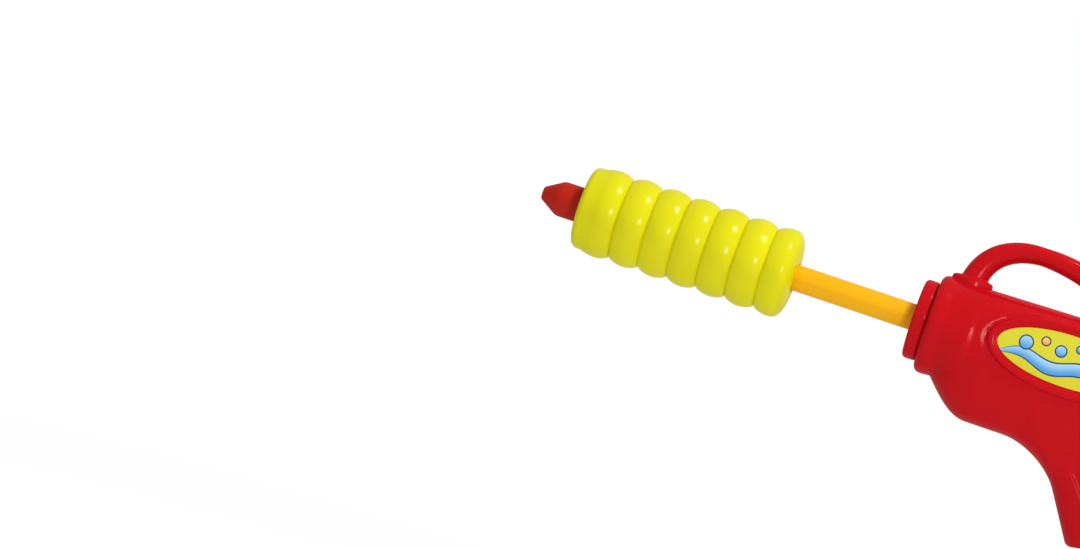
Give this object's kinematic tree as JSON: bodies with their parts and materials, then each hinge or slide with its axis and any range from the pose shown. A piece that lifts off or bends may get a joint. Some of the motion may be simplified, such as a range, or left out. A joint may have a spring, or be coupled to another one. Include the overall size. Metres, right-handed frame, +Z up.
{
  "type": "water squirter",
  "caption": "Hand pump water squirter: red pistol-grip housing with a loop handle, and a sliding orange tube that carries a ribbed yellow grip and a nozzle.",
  "frame": {"origin": "middle of the pistol grip, where the hand holds the squirter", "axes": "+X along the pump axis to the rear, +Z up, so the nozzle points along -X; -Y is the side that the picture shows"},
  "size_m": [0.3528, 0.055, 0.1372],
  "materials": {
    "red_plastic": "glossy moulded red plastic",
    "nozzle_plastic": "glossy darker red plastic",
    "yellow_plastic": "very glossy yellow plastic",
    "orange_plastic": "smooth orange plastic",
    "white_plastic": "natural white plastic",
    "seal_rubber": "black rubber",
    "label_film": "printed film",
    "screw_steel": "plated steel"
  },
  "bodies": {
    "housing": {"body_shell_left": "red_plastic", "body_shell_right": "red_plastic", "carry_handle": "red_plastic", "front_cap": "red_plastic", "pump_cylinder": "white_plastic", "cylinder_end_plug": "white_plastic", "rod_guide_bush": "white_plastic", "end_plug_seal": "seal_rubber", "cap_gasket": "seal_rubber", "rod_wiper": "seal_rubber", "label_left": "label_film", "label_right": "label_film", "body_screw_1": "screw_steel", "body_screw_2": "screw_steel", "body_screw_3": "screw_steel", "body_screw_4": "screw_steel", "body_screw_5": "screw_steel", "body_screw_6": "screw_steel"},
    "piston_seals": {"piston_o_ring_front": "seal_rubber", "piston_o_ring_rear": "seal_rubber"},
    "plunger": {"plunger_tube": "orange_plastic", "piston_head": "white_plastic", "piston_retainer": "white_plastic", "bump_stop": "seal_rubber", "ribbed_grip": "yellow_plastic", "nozzle": "nozzle_plastic", "nozzle_seal": "seal_rubber"}
  },
  "joints": [
    {"name": "pump_slide", "type": "slide", "parent": "housing", "child": "piston_seals", "axis": [1, 0, 0], "range_m": [0, 0.061]},
    {"name": "grip_twist", "type": "hinge", "parent": "piston_seals", "child": "plunger", "pos_m": [-0.08, 0, 0.058], "axis": [1, 0, 0], "continuous": true}
  ]
}
